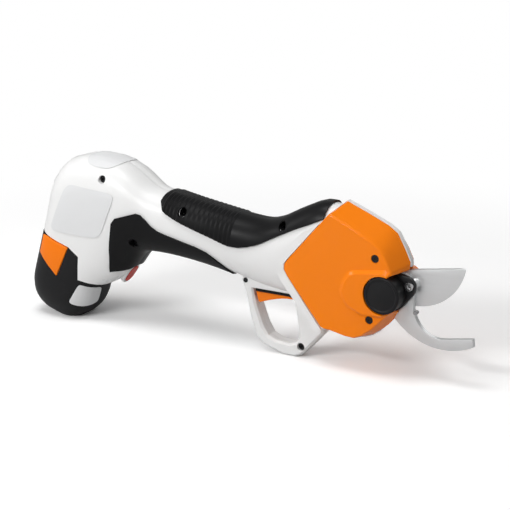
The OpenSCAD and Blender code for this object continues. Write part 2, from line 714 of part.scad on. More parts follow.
module gear_case() {
    color([0.62, 0.63, 0.65]) drive_turn([
        [shaft_radius + 1.5, case_front], [nose_radius, case_front], [nose_radius, case_step - 4],
        [motor_radius, case_step], [motor_radius, case_back], [ring_radius, case_back], [ring_radius, case_step + 1.5],
        [bearing_radius, case_step + 1.5], [bearing_radius, case_front + 1.5], [shaft_radius + 1.5, case_front + 1.5]
    ]);
}
module bearing_at(place) {
    color(steel) drive_turn([[shaft_radius + running_gap, place], [bearing_radius - 0.05, place],
        [bearing_radius - 0.05, place + bearing_width], [shaft_radius + running_gap, place + bearing_width]]);
}
module front_bearing() {
    bearing_at(case_front + 1.6);
}
module rear_bearing() {
    bearing_at(case_step - bearing_width + 1);
}
stator_inner = 9.4;
rotor_radius = 8.8;
motor_wall = 1.3;
module motor_can() {
    color([0.2, 0.2, 0.22]) drive_turn([
        [rotor_shaft_radius + running_gap, motor_front], [motor_radius, motor_front], [motor_radius, motor_back],
        [rotor_shaft_radius + running_gap, motor_back], [rotor_shaft_radius + running_gap, motor_back - 3],
        [motor_radius - motor_wall, motor_back - 3], [motor_radius - motor_wall, motor_front + 3],
        [rotor_shaft_radius + running_gap, motor_front + 3]
    ]);
}
module motor_stator() {
    color([0.72, 0.42, 0.2]) drive_turn([[stator_inner, motor_front + 8], [motor_radius - motor_wall - 0.05, motor_front + 8],
        [motor_radius - motor_wall - 0.05, motor_back - 8], [stator_inner, motor_back - 8]]);
}
module motor_rotor() {
    color([0.35, 0.35, 0.37]) {
        drive_turn([[0, gear_front + 0.5], [rotor_shaft_radius, gear_front + 0.5], [rotor_shaft_radius, motor_front + 9],
            [rotor_radius, motor_front + 9], [rotor_radius, motor_back - 9], [rotor_shaft_radius, motor_back - 9],
            [rotor_shaft_radius, motor_back + 4], [0, motor_back + 4]]);
    }
}
module sun_gear() {
    color([0.6, 0.6, 0.58]) drive_frame() translate([0, 0, gear_front]) difference() {
        linear_extrude(gear_width)
            polygon(gear_outline(sun_teeth, gear_module, gear_module, 1.25 * gear_module, tooth_thinning / 2));
        translate([0, 0, -1]) cylinder(h = gear_width + 2, r = rotor_shaft_radius + press_gap);
    }
}

// Trigger, its pin, its return spring and the sensor that reads it
trigger_outline = concat(
    [[46, 56.6], [38, 51.6], [13, 50.4], [12, 48.8], [12.6, 44], [14.6, 36.4], [15.6, 35.8]],
    [for (i = [1 : 6]) let (u = i / 6) [mix(15.6, 43, u), 35.8 + 6.4 * sin(90 * u)]],
    [[48.4, 44.6], [53, 51.6], [52.4, 56.4]]
);
module trigger() {
    color(orange) difference() {
        side_extrude(-trigger_half_width, trigger_half_width) polygon(trigger_outline);
        at_side(trigger_pin_place, -40, 40, trigger_pin_radius + running_gap);
    }
}
module trigger_pin() {
    color(steel) at_side(trigger_pin_place, -guard_half_width, guard_half_width, trigger_pin_radius);
}
// Round wire along a helix, z up its axis
module coil(radius, wire, height, turns) {
    steps = floor(turns * 8);
    rings = [for (i = [0 : steps]) let (a = i * 360 / 8, z = mix(wire, height - wire, i / steps))
        [for (j = [0 : 5]) let (b = -j * 60, r = radius + wire * cos(b))
            [r * cos(a), r * sin(a), z + wire * sin(b)]]];
    loft(rings);
}
// The spring stands between the trigger and the gear case or motor over it
spring_place = [24, 51.2];
spring_height = drive_height(spring_place[0]) - motor_radius / cos(drive_tilt) - seat_gap - spring_place[1];
module trigger_spring() {
    color(steel) translate([spring_place[0], 0, spring_place[1]]) coil(2.4, 0.35, spring_height, 4);
}
module trigger_sensor() {
    color([0.15, 0.35, 0.2]) translate([57, -7, 50.4]) cube([8, 14, 6]);
}

// Power button at the front lower corner, z out of the housing
button_place = [-99.8, 38.8];
button_turn = 125;
button_half_length = 3;
button_radius = 4.6;
bezel_wall = 1.4;
module button_frame() {
    translate([button_place[0], 0, button_place[1]]) rotate([0, button_turn, 0]) children();
}
module stadium(half_length, r, low, high) {
    for (side = [-1, 1]) translate([side * half_length, 0, low]) cylinder(h = high - low, r = r);
    translate([-half_length, -r, low]) cube([2 * half_length, 2 * r, high - low]);
}
module power_button() {
    color([0.8, 0.1, 0.07]) button_frame() stadium(button_half_length, button_radius, -3.6, 1.2);
}
module button_bezel() {
    color(white) button_frame() difference() {
        stadium(button_half_length, button_radius + slide_gap + bezel_wall, -8, 0.6);
        stadium(button_half_length, button_radius + slide_gap, -6.6, 1);
    }
}
module button_switch() {
    color(black) button_frame() translate([-3, -3, -6.6]) cube([6, 6, 1.4]);
}

// Battery: a case with a bowl-shaped foot, its cells, its lid and two squeeze latches
battery_half_depth = 27.8;
battery_squareness = 3;
foot_top = -30;
foot_depth = 31;
foot_roundness = 2.3;
cell_gap = 0.5;
cell_orbit = (2 * cell_radius + cell_gap) / sqrt(3);
block_radius = cell_orbit + cell_radius + case_wall;
block_top = 23;
cell_bottom = block_top - cell_length - 2;
lid_thickness = 2.5;
module battery_ring_stack(grow) {
    turns = [for (j = [0 : 31]) j * 360 / 32];
    steps = 9;
    drops = concat([-50 / foot_depth, 0], [for (i = [1 : steps]) sin(i * 74 / steps)]);
    loft([for (d = drops) let (s = pow(1 - pow(max(0, d), foot_roundness), 1 / foot_roundness)) [for (a = turns)
        [(battery_half_depth + grow) * s * signed_power(cos(a), 2 / battery_squareness),
            (rear_half_width - 0.4 + grow) * s * signed_power(sin(a), 2 / battery_squareness),
            foot_top - foot_depth * d]]]);
}
latch_outline = [[-36, 2.9], [5, 2.9], [0.6, -23], [-8, -18.6], [-36, -4.4]];
latch_travel = 2;
latch_inside = rear_half_width - 3.9;
// The three cells stand in a triangle, one of them to the rear
module at_cells() {
    for (a = [60, 180, 300]) rotate([0, 0, a]) translate([cell_orbit, 0, 0]) children();
}
module battery_case() {
    color(black) difference() {
        union() {
            intersection() {
                battery_frame() battery_ring_stack(0);
                battery_frame() side_extrude(-60, 60) polygon(below_skirt(0.5));
                translate([-250, -50, 0]) cube([250, 100, 200]);
            }
            battery_frame() translate([0, 0, foot_top]) cylinder(h = block_top - foot_top, r = block_radius, $fn = 96);
        }
        battery_frame() at_cells() translate([0, 0, cell_bottom])
            cylinder(h = cell_length + 10, r = cell_radius + running_gap);
        latch_pocket();
        mirrored() latch_pocket();
    }
}
module latch_pocket() {
    battery_frame() side_extrude(-60, -latch_inside + latch_travel + slide_gap)
        offset(delta = slide_gap) polygon(concat([[-36, 9], latch_outline[1] + [1, 6.1]], [for (i = [2 : 4]) latch_outline[i]]));
}
module latch_button() {
    battery_frame() intersection() {
        battery_ring_stack(0.7);
        side_extrude(-60, -latch_inside) polygon(latch_outline);
    }
}
module battery_latch_right() {
    color(orange) latch_button();
}
module battery_latch_left() {
    color(orange) mirrored() latch_button();
}
module latch_coil() {
    battery_frame() translate([-11, -latch_inside + latch_travel + slide_gap, -3]) rotate([90, 0, 0])
        coil(2.2, 0.3, latch_travel + slide_gap, 2.5);
}
module latch_spring_right() {
    color(steel) latch_coil();
}
module latch_spring_left() {
    color(steel) mirrored() latch_coil();
}
module battery_cells() {
    color([0.2, 0.45, 0.6]) battery_frame() at_cells() translate([0, 0, cell_bottom + 0.1])
        cylinder(h = cell_length, r = cell_radius);
}
terminal_places = [-6, 0, 6];
module battery_lid() {
    color(black) battery_frame() difference() {
        translate([0, 0, block_top]) cylinder(h = lid_thickness, r = block_radius, $fn = 96);
        for (y = terminal_places) translate([-7, y - 0.9, block_top - 1]) cube([14, 1.8, lid_thickness + 2]);
    }
}

// Socket over the battery, with its terminals and the control board
socket_bottom = block_top + lid_thickness + slide_gap;
socket_height = 5;
socket_half_width = rear_half_width - shell_wall - 1.2;
module battery_socket() {
    color([0.25, 0.25, 0.26]) battery_frame() {
        translate([-20, -17, socket_bottom]) cube([42, 34, socket_height]);
        translate([-5, -socket_half_width, socket_bottom]) cube([10, 2 * socket_half_width, socket_height]);
    }
}
module terminals() {
    color([0.8, 0.65, 0.3]) battery_frame() for (y = terminal_places)
        translate([-6, y - 0.4, socket_bottom - 2.2]) cube([12, 0.8, 2.2]);
}
module control_board() {
    board = socket_bottom + socket_height;
    color([0.1, 0.4, 0.2]) battery_frame() {
        translate([-18, -16, board]) cube([38, 32, 1.6]);
        for (y = [-12, -4, 4]) translate([-14, y, board + 1.5]) cube([9, 6, 3]);
        for (y = [-10, 8]) translate([8, y, board + 1.5]) cylinder(h = 6, r = 4);
    }
}

// Screws
module screw(p, seat, head, length) {
    difference() {
        at_side(p, -seat - head, -seat, screw_head_radius);
        at_side(p, -seat - head - 1, -seat - 0.4 * head, 1.3);
    }
    at_side(p, -seat, -seat + length, screw_radius);
}
module housing_screws() {
    color(steel) for (p = housing_screw_places) screw(p, screw_seat(p) - 2, 2, screw_seat(p) + 3);
}
module cover_screws_right() {
    color(steel) for (p = cover_screw_places) screw(p, cover_screw_seat, cover_screw_head, cover_screw_seat - 1);
}
module cover_screws_left() {
    color(steel) mirrored() for (p = cover_screw_places) screw(p, cover_screw_seat, cover_screw_head, 9);
}

housing_right();
housing_left();
upper_grip_right();
upper_grip_left();
lower_grip_right();
lower_grip_left();
head_cover_right();
head_cover_left();
counter_blade();
lock_plate();
lock_screw();
pivot_bolt();
pivot_nut();
thrust_washer();
pivot_cap();
gear_case();
front_bearing();
rear_bearing();
ring_gear();
motor_can();
motor_stator();
trigger_pin();
trigger_sensor();
button_bezel();
button_switch();
battery_socket();
terminals();
control_board();
housing_screws();
cover_screws_right();
cover_screws_left();
cutting_blade();
blade_bush();
sector_gear();
pinion_shaft();
planet_carrier();
planet_gear_1();
planet_gear_2();
planet_gear_3();
motor_rotor();
sun_gear();
trigger();
trigger_spring();
power_button();
battery_case();
battery_cells();
battery_lid();
battery_latch_right();
battery_latch_left();
latch_spring_right();
latch_spring_left();
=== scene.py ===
# %% [markdown]
# Battery electric pruner, dressed for the camera.
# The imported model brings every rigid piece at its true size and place. This lesson gives the
# moulded shells their smooth skins and rounded edges, adds the plates, the grain and the small
# fittings that moulded tools have, and lights the tool as a studio would.

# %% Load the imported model
import json
import math

import bpy
import numpy as np
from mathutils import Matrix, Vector

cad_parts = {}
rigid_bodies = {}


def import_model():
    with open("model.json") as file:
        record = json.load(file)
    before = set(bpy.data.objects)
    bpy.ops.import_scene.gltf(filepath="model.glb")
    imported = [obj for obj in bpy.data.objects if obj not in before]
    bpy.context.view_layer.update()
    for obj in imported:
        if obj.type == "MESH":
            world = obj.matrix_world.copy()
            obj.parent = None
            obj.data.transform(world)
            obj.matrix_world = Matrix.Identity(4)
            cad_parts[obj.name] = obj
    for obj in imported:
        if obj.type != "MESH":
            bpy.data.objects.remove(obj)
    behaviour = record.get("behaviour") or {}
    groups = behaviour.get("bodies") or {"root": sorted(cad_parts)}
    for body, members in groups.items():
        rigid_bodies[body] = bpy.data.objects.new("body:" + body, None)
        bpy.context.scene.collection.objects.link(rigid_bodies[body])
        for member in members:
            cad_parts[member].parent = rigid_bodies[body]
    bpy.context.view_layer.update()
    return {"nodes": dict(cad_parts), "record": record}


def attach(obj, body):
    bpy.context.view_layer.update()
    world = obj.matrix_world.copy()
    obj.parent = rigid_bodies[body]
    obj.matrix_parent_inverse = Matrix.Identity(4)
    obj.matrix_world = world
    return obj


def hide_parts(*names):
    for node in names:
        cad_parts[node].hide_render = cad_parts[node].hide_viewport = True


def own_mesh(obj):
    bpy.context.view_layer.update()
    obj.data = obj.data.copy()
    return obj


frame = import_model()
mm = 0.001

# %% [markdown]
# The camera stands where the photographer stood: a little in front of the tool's right side and
# above it. A short lens from close by would swell the near end of the tool. A long lens from
# further off keeps the shape almost free of perspective.

# %% Camera
lens_length, film_width = 120, 36
camera_place = (0.60375, -1.01446, 0.420)
degrees_up, degrees_round = 16.61, 30.38
camera_data = bpy.data.cameras.new("camera")
camera_data.lens = lens_length
camera_data.sensor_width = film_width
camera = bpy.data.objects.new("camera", camera_data)
camera.location = camera_place
camera.rotation_euler = (math.radians(90 - degrees_up), 0, math.radians(degrees_round))
bpy.context.scene.collection.objects.link(camera)
bpy.context.scene.camera = camera
bpy.context.scene.view_settings.view_transform = "Standard"
print("camera", tuple(camera.location))

# %% [markdown]
# A finish is a small network of nodes. A picture could be wrapped round each piece instead, but
# every piece would have to be unwrapped for it first. Every finish here starts from the same two
# noises: a broad one that moves the gloss and the colour a little, and a fine one that gives the
# surface its moulded grain. Both are tied to Object coordinates, because each piece's mesh lies
# in the tool's own frame.

# %% A helper for finishes
cloud_scale, cloud_detail = 38.0, 4.0
cloud_low, cloud_high = 0.3, 0.7
gloss_change = 0.05
grain_detail, grain_strength = 2.0, 0.35


def node(tree, kind, **sockets):
    made = tree.nodes.new(kind)
    for name, value in sockets.items():
        made.inputs[name.replace("_", " ")].default_value = value
    return made


def ramp(tree, source, low, high, first, last):
    made = node(
        tree, "ShaderNodeMapRange", From_Min=low, From_Max=high, To_Min=first, To_Max=last)
    tree.links.new(source, made.inputs["Value"])
    return made.outputs["Result"]


def finish(name, colour, rough, grain_size, grain_depth, metal=0.0, shine=0.5,
           stretch=(1, 1, 1), tint=0.06):
    material = bpy.data.materials.new(name)
    material.use_nodes = True
    tree = material.node_tree
    shader = tree.nodes["Principled BSDF"]
    shader.inputs["Metallic"].default_value = metal
    shader.inputs["Specular IOR Level"].default_value = shine
    place = tree.nodes.new("ShaderNodeTexCoord")
    mapping = node(tree, "ShaderNodeMapping", Scale=stretch)
    tree.links.new(place.outputs["Object"], mapping.inputs["Vector"])
    cloud = node(tree, "ShaderNodeTexNoise", Scale=cloud_scale, Detail=cloud_detail)
    tree.links.new(mapping.outputs["Vector"], cloud.inputs["Vector"])
    grain = node(tree, "ShaderNodeTexNoise", Scale=1 / grain_size, Detail=grain_detail)
    tree.links.new(mapping.outputs["Vector"], grain.inputs["Vector"])
    gloss = ramp(tree, cloud.outputs["Fac"], cloud_low, cloud_high,
                 rough - gloss_change, rough + gloss_change)
    tree.links.new(gloss, shader.inputs["Roughness"])
    shade = tree.nodes.new("ShaderNodeMix")
    shade.data_type = "RGBA"
    shade.inputs["A"].default_value = (*[c * (1 - tint) for c in colour], 1)
    shade.inputs["B"].default_value = (*[min(1, c * (1 + tint)) for c in colour], 1)
    tree.links.new(cloud.outputs["Fac"], shade.inputs["Factor"])
    tree.links.new(shade.outputs["Result"], shader.inputs["Base Color"])
    bump = node(tree, "ShaderNodeBump", Strength=grain_strength, Distance=grain_depth)
    tree.links.new(grain.outputs["Fac"], bump.inputs["Height"])
    tree.links.new(bump.outputs["Normal"], shader.inputs["Normal"])
    return material


# %% [markdown]
# The palette: white and orange glossy shells, black soft grips, fine-grained black plastic,
# satin blade steel and the metals inside. Every node takes the finish of its slot in the record,
# so that pieces of one material always match. A row gives the finish's name, its colour, its
# roughness, and the size and depth of its grain in metres.

# %% Finishes
by_slot = {
    "white_shell": finish(
        "white moulded shell", (0.84, 0.84, 0.835), 0.32, 0.0006, 0.00002, shine=0.3, tint=0.01),
    "orange_shell": finish(
        "orange moulded shell", (0.96, 0.225, 0.001), 0.16, 0.0006, 0.000003,
        shine=0.27, tint=0.02),
    "orange_control": finish(
        "orange control", (0.93, 0.2, 0.001), 0.38, 0.0005, 0.00002, shine=0.22, tint=0.03),
    "soft_grip": finish(
        "soft grip", (0.008, 0.008, 0.0085), 0.34, 0.0005, 0.00003, shine=0.12, tint=0.12),
    "black_plastic": finish(
        "black plastic", (0.01, 0.01, 0.011), 0.44, 0.0006, 0.00004, shine=0.2, tint=0.1),
    "black_metal": finish(
        "black coated metal", (0.012, 0.012, 0.013), 0.4, 0.0005, 0.00002, shine=0.28, tint=0.1),
    "blade_steel": finish(
        "satin blade steel", (0.76, 0.765, 0.77), 0.38, 0.0007, 0.00001,
        metal=0.85, stretch=(1, 1, 14), tint=0.03),
    "fastener_steel": finish(
        "plated steel", (0.62, 0.62, 0.63), 0.25, 0.0008, 0.00001, metal=1.0),
    "gear_steel": finish("gear steel", (0.42, 0.42, 0.43), 0.36, 0.0006, 0.00002, metal=1.0),
    "cast_case": finish("cast alloy", (0.55, 0.56, 0.58), 0.5, 0.0009, 0.00006, metal=0.9),
    "bronze": finish("bronze", (0.55, 0.36, 0.14), 0.35, 0.0007, 0.00002, metal=1.0),
    "winding": finish(
        "lacquered winding", (0.45, 0.17, 0.05), 0.35, 0.0004, 0.0001,
        metal=0.6, stretch=(1, 6, 6)),
    "red_button": finish("red button", (0.62, 0.03, 0.015), 0.35, 0.0005, 0.00002, tint=0.04),
    "cell_wrap": finish("cell wrap", (0.02, 0.12, 0.27), 0.3, 0.0008, 0.00001),
    "board": finish(
        "circuit board", (0.01, 0.12, 0.04), 0.4, 0.0007, 0.00003, stretch=(3, 1, 1)),
}
slot_of = {row["node"]: row["material_slot"] for row in frame["record"]["subparts"]}
for name, piece in frame["nodes"].items():
    piece.data.materials.clear()
    piece.data.materials.append(by_slot[slot_of[name]])
print("finishes", len(by_slot), "nodes", len(frame["nodes"]))

# %% [markdown]
# Moulded and cut edges are never quite sharp. They could be rounded by hand, face by face, but a
# bevel modifier rounds all the edges that it is given in one step. It is applied at once, so that
# the next step works on the new faces.


# %% A helper for bevels
def apply_bevel(piece, title, width, segments, **settings):
    bevel = piece.modifiers.new(title, "BEVEL")
    bevel.width = width
    bevel.segments = segments
    for setting, value in settings.items():
        setattr(bevel, setting, value)
    bpy.ops.object.modifier_apply(modifier=bevel.name)


# %% [markdown]
# The two halves of the housing meet on the plane y = 0, and a fine groove shows there. It could be
# cut out with a boolean, but a broken edge on each half is what a mould leaves. The edges that
# border that plane are marked with a bevel weight, and a bevel that follows the weight breaks
# them.

# %% A helper for the parting edges
weld_reach = 0.02 * mm


def break_parting_edges(piece, width):
    mesh = piece.data
    weight = mesh.attributes.new("bevel_weight_edge", "FLOAT", "EDGE")
    on_plane = [abs(point.co.y) < weld_reach for point in mesh.vertices]
    beside = {}
    for face in mesh.polygons:
        flat = all(on_plane[i] for i in face.vertices)
        for key in face.edge_keys:
            beside.setdefault(key, []).append(flat)
    for edge in mesh.edges:
        if sorted(beside[edge.key]) == [False, True]:
            weight.data[edge.index].value = 1.0
    apply_bevel(
        piece, "broken edge", width, 2, limit_method="WEIGHT", use_clamp_overlap=False)
    print(piece.name, "parting edges broken")


# %% [markdown]
# Smooth shading needs a direction at every corner of every face. Blender takes the mean of all
# the faces in a fan, and on a trimmed shell a fan can creep round an edge and shade thin faces
# black. Here a corner takes the mean of only those faces round its point that turn less than a
# given angle from its own face, each weighed by how wide it opens at that point. On a piece with
# flat panels they are weighed by area instead, so that a panel stays flat up to its rounded edge.

# %% A helper for shading
own_face_share = 1e-12


def opening(mesh, corners, at):
    here = mesh.vertices[corners[at]].co
    one = mesh.vertices[corners[at - 1]].co - here
    two = mesh.vertices[corners[(at + 1) % len(corners)]].co - here
    return one.angle(two, 0.0)


def shade_corners(piece, limit, flat_panels):
    mesh = piece.data
    around = [[] for _ in mesh.vertices]
    for face in mesh.polygons:
        for at, index in enumerate(face.vertices):
            share = face.area if flat_panels else opening(mesh, face.vertices, at)
            around[index].append((face.normal.copy(), share))
    least = math.cos(math.radians(limit))
    facing = []
    for face in mesh.polygons:
        for index in face.vertices:
            mean = face.normal * own_face_share
            for normal, share in around[index]:
                if normal.dot(face.normal) > least:
                    mean += normal * share
            facing.append(mean.normalized())
    mesh.normals_split_custom_set(facing)


# %% [markdown]
# Where a shell is trimmed very thin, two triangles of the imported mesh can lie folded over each
# other, and the fold shows as a black sliver. Turning the edge between them doesn't open every
# fold, so that edge is dissolved and the two become one face.

# %% A helper for folds
folded_over = -0.995


def join_folded_faces(piece):
    mesh = piece.data
    beside = {}
    for face in mesh.polygons:
        for key in face.edge_keys:
            beside.setdefault(key, []).append(face.normal.copy())
    bpy.ops.object.mode_set(mode="EDIT")
    bpy.ops.mesh.select_mode(type="EDGE")
    bpy.ops.mesh.select_all(action="DESELECT")
    bpy.ops.object.mode_set(mode="OBJECT")
    folded = 0
    for edge in mesh.edges:
        pair = beside[edge.key]
        if len(pair) == 2 and pair[0].dot(pair[1]) < folded_over:
            edge.select = True
            folded += 1
    if folded:
        bpy.ops.object.mode_set(mode="EDIT")
        bpy.ops.mesh.dissolve_edges(use_verts=False)
        bpy.ops.object.mode_set(mode="OBJECT")
    print(piece.name, folded, "folds joined")


# %% [markdown]
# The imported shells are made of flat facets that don't share their corners. A copy with its
# corners merged can be shaded smoothly, and its edges can be rounded as a mould rounds them. A
# subdivision would smooth them too, but it would pull the shell off its true size. The copy
# stands for the node and rides on the same body.

# %% A helper that makes a smooth skin from a node
body_of = {n: b for b, nodes in frame["record"]["behaviour"]["bodies"].items() for n in nodes}


def pick(piece):
    bpy.ops.object.select_all(action="DESELECT")
    piece.select_set(True)
    bpy.context.view_layer.objects.active = piece


def on_whole_mesh(operation, **settings):
    bpy.ops.object.mode_set(mode="EDIT")
    bpy.ops.mesh.select_all(action="SELECT")
    operation(**settings)
    bpy.ops.object.mode_set(mode="OBJECT")


def smooth_skin(name, angle, round_edges=0.0, round_from=30, dissolve=0.0, parting=0.0,
                flat_panels=False, reshape=None):
    pick(frame["nodes"][name])
    bpy.ops.object.duplicate()
    piece = bpy.context.view_layer.objects.active
    piece.name = name + "_skin"
    on_whole_mesh(bpy.ops.mesh.remove_doubles, threshold=weld_reach)
    join_folded_faces(piece)
    if reshape:
        reshape(piece)
    if dissolve:
        on_whole_mesh(bpy.ops.mesh.dissolve_limited, angle_limit=math.radians(dissolve))
    if round_edges:
        apply_bevel(piece, "rounded edges", round_edges, 3, limit_method="ANGLE",
                    angle_limit=math.radians(round_from))
    if parting:
        break_parting_edges(piece, parting)
    bpy.ops.object.shade_smooth_by_angle(angle=math.radians(angle))
    shade_corners(piece, angle, flat_panels)
    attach(piece, body_of[name])
    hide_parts(name)
    print(piece.name, len(piece.data.polygons), "faces")
    return piece


# %% [markdown]
# The lower grip's top edge runs straight from its rear corner to its peak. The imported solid
# follows the wide facets of the shell there. Cutting the grip anew along a plane would do, but it
# would leave new slivers, so the points of the edge are moved onto the line. Places are in
# millimetres along the tool and up.

# %% A helper for the lower grip's edge
edge_start, edge_peak = (-96.4, 87.7), (-79.1, 93.4)
past_peak, off_line = 0.2, 2.0


def straighten_top_edge(piece):
    rise = (edge_peak[1] - edge_start[1]) / (edge_peak[0] - edge_start[0])
    moved = 0
    for point in piece.data.vertices:
        x, z = point.co.x / mm, point.co.z / mm
        line = edge_start[1] + (x - edge_start[0]) * rise
        if edge_start[0] < x < edge_peak[0] + past_peak and abs(z - line) < off_line:
            point.co.z = line * mm
            moved += 1
    print(piece.name, moved, "points moved onto the line")


# %% [markdown]
# The white halves of the housing are moulded shells. Soft grips are moulded over them, and orange
# covers close the gear head. One helper makes all their skins, and its angles part the edges that
# stay crisp from the faces that run on smoothly.

# %% Skins of the shells, grips and covers
for name in ("housing_right", "housing_left"):
    smooth_skin(name, angle=32, parting=0.25 * mm)
for name in ("upper_grip_right", "upper_grip_left"):
    smooth_skin(name, angle=28, round_edges=0.5 * mm, round_from=22)
for name in ("lower_grip_right", "lower_grip_left"):
    smooth_skin(name, angle=40, round_edges=0.5 * mm, round_from=50,
                reshape=straighten_top_edge)
for name in ("head_cover_right", "head_cover_left"):
    smooth_skin(name, angle=50, round_edges=0.5 * mm, round_from=44, dissolve=0.5,
                flat_panels=True)

# %% [markdown]
# The screw holes under the grips get painted shade inside: the faces of each bore take the
# grip's black finish, so that the deep holes look dark. A thin black tube in each hole would show
# a rim. The faces are found by how near they come to the hole's axis.

# %% Painted shade in the bores under the grips
pieces = bpy.data.objects
sides = (("right", -1), ("left", 1))
shade_painted_holes = [(-82.5, 70), (-42, 98), (40, 98.5)]
bore_radius = 3.06
under_the_grip = 9.0
for side, _ in sides:
    shell = pieces["housing_" + side + "_skin"].data
    shell.materials.append(by_slot["soft_grip"])
    shade_painted = 0
    for face in shell.polygons:
        corners = [shell.vertices[i].co / mm for i in face.vertices]
        for x, z in shade_painted_holes:
            reach = [math.hypot(c.x - x, c.z - z) for c in corners]
            if min(reach) < bore_radius and max(reach) < under_the_grip:
                # This bore face gets the black finish as painted shade.
                face.material_index = 1
                shade_painted += 1
    print("lined bores,", side, shade_painted, "faces")

# %% [markdown]
# The top screw hole cuts through the wide facets of the shell, and its rim would shade as a
# pinch. Finer facets would cost many faces. A straight-line fit of the shell's shading around the
# hole gives each point of the rim the direction that an uncut shell would have there.

# %% Even shading round the top screw holes
top_hole = (-109, 115)
faces_out = 0.2
rim_reach, rim_out = 3.2, 20.5
fit_from, fit_reach, fit_out = 3.5, 17.0, 15
for side, way in sides:
    shell = pieces["housing_" + side + "_skin"].data
    facing = [corner.vector.copy() for corner in shell.corner_normals]
    known = []
    rim_corners = []
    for face in shell.polygons:
        if face.normal.y * way < faces_out:
            continue
        for corner, index in zip(face.loop_indices, face.vertices):
            at = shell.vertices[index].co / mm
            dx, dz = at.x - top_hole[0], at.z - top_hole[1]
            away = math.hypot(dx, dz)
            if away < rim_reach and at.y * way > rim_out:
                rim_corners.append((corner, dx, dz))
            elif fit_from < away < fit_reach and at.y * way > fit_out:
                known.append((dx, dz, facing[corner]))
    places = np.array([(1, dx, dz) for dx, dz, _ in known])
    directions = np.array([tuple(direction) for _, _, direction in known])
    slopes = np.linalg.lstsq(places, directions, rcond=None)[0]
    for corner, dx, dz in rim_corners:
        facing[corner] = Vector(np.array((1, dx, dz)) @ slopes).normalized()
    shell.normals_split_custom_set(facing)
    print("rim shaded,", side, len(rim_corners), "corners from", len(known))

# %% [markdown]
# The battery is a black moulded case with squeeze latches. The cap covers the pivot bolt, and the
# lock plate keeps that bolt from turning. Their skins are made as the shells' skins are. Steel
# blades are ground, so their edges are rounded least.

# %% Skins of the battery, the latches, the cap, the trigger and the blades
smooth_skin("battery_case", angle=32)
for name in ("battery_latch_right", "battery_latch_left"):
    smooth_skin(name, angle=35, round_edges=0.6 * mm, dissolve=0.5)
for name in ("pivot_cap", "trigger", "lock_plate"):
    smooth_skin(name, angle=35, round_edges=0.5 * mm, dissolve=0.5)
for name in ("cutting_blade", "counter_blade"):
    smooth_skin(name, angle=28, round_edges=0.25 * mm, round_from=40, dissolve=0.5)

# %% [markdown]
# Thin bare plates lie on the rear housing and on the battery. A plate cut from a flat sheet would
# not follow the round shell, so each starts as a grid. Its points are spread between four
# corners, with the corners of the plate pulled in to round them, and the grid is then laid on the
# shell with a shrinkwrap and given its thickness.

# %% A helper for plates
plate_foil = finish(
    "bare plate foil", (0.75, 0.755, 0.76), 0.45, 0.0008, 0.000005, shine=0.3, tint=0.01)
plate_columns, plate_rows = 36, 28
plate_lift, plate_thickness = 0.2 * mm, 0.3 * mm
plate_crease = 40


def spread(corners, u, w):
    low = corners[0].lerp(corners[1], (u + 1) / 2)
    high = corners[3].lerp(corners[2], (u + 1) / 2)
    return low.lerp(high, (w + 1) / 2)


def bare_plate(name, corners, rounding, sharpness, shell, body, towards=""):
    bpy.ops.object.select_all(action="DESELECT")
    bpy.ops.mesh.primitive_grid_add(
        x_subdivisions=plate_columns, y_subdivisions=plate_rows, size=2)
    plate = bpy.context.object
    plate.name = name
    corners = [Vector(c) * mm for c in corners]
    for point in plate.data.vertices:
        u, w = point.co.x, point.co.y
        across = u * (1 - rounding * abs(w) ** sharpness)
        along = w * (1 - rounding * abs(u) ** sharpness)
        point.co = spread(corners, across, along)
    wrap = plate.modifiers.new("lie on the shell", "SHRINKWRAP")
    wrap.target = shell
    wrap.wrap_method = "PROJECT" if towards else "NEAREST_SURFACEPOINT"
    wrap.use_project_y = towards == "y"
    wrap.use_project_z = towards == "-z"
    wrap.use_positive_direction = towards == "y"
    wrap.use_negative_direction = towards == "-z"
    wrap.wrap_mode = "ABOVE_SURFACE"
    wrap.offset = plate_lift
    bpy.ops.object.modifier_apply(modifier=wrap.name)
    sheet = plate.modifiers.new("sheet", "SOLIDIFY")
    sheet.thickness = plate_thickness
    sheet.offset = 1
    bpy.ops.object.modifier_apply(modifier=sheet.name)
    bpy.ops.object.shade_smooth_by_angle(angle=math.radians(plate_crease))
    plate.data.materials.append(plate_foil)
    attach(plate, body)
    print(name, len(plate.data.polygons), "faces")


# %% [markdown]
# The side plate is laid on from the right and the battery's plate goes to the nearest surface.
# The top plate lies across both halves, so it is laid from above onto a joined copy of the two,
# which is removed again.

# %% The plates
side_corners = [(-158, -32, 70), (-110.5, -32, 70), (-95.8, -32, 105.6), (-140.6, -32, 108.6)]
top_corners = [
    (-129.5, -17.5, 134), (-100.5, -17.5, 134), (-98.5, 17.5, 134), (-129.5, 17.5, 134)]
battery_corners = [
    (-142.5, -23.4, 14.4), (-131.2, -2, 11.6), (-126.6, -2, 24), (-133, -21.8, 30.4)]
bare_plate("side_plate", side_corners, rounding=0.09, sharpness=9,
           shell=pieces["housing_right_skin"], body="handle", towards="y")
pick(pieces["housing_right_skin"])
pieces["housing_left_skin"].select_set(True)
bpy.ops.object.duplicate()
bpy.ops.object.join()
whole_shell = bpy.context.view_layer.objects.active
bare_plate("top_plate", top_corners, rounding=0.2, sharpness=4,
           shell=whole_shell, body="handle", towards="-z")
bpy.data.objects.remove(whole_shell)
bare_plate("battery_plate", battery_corners, rounding=0.08, sharpness=9,
           shell=pieces["battery_case_skin"], body="battery")
